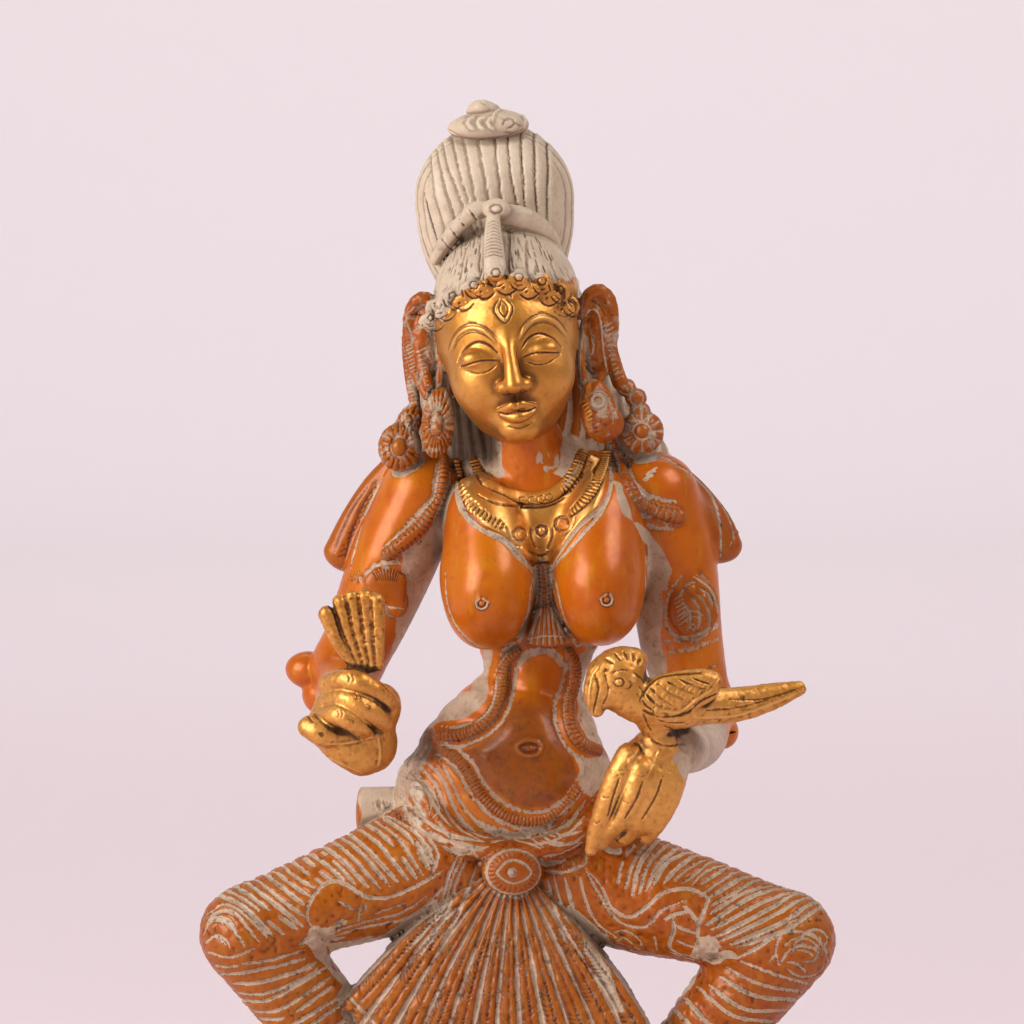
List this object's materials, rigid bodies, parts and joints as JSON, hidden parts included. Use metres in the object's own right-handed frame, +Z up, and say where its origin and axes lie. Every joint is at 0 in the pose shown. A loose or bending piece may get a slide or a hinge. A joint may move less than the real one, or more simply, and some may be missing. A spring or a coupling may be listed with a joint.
{
  "type": "cast goddess figure with lotus bud and parrot",
  "caption": "Standing figure of a goddess in a half-sitting dance pose with a lotus bud, a parrot and a fan of pleated cloth, cast in one with a low round lotus plinth.",
  "frame": {"origin": "centre of the figure's box on the flat underside of the plinth", "axes": "+Z up along the figure's height, the face looks along -Y, +X towards the figure's own left hand with the parrot"},
  "size_m": [0.169, 0.127, 0.33],
  "materials": {
    "brass_lacquer": "orange-brown lacquered cast brass, polished gold on face, hands, bird and collar, grey whiting left in the grooves"
  },
  "bodies": {
    "root": {"parvati_figure": "brass_lacquer"}
  },
  "joints": []
}
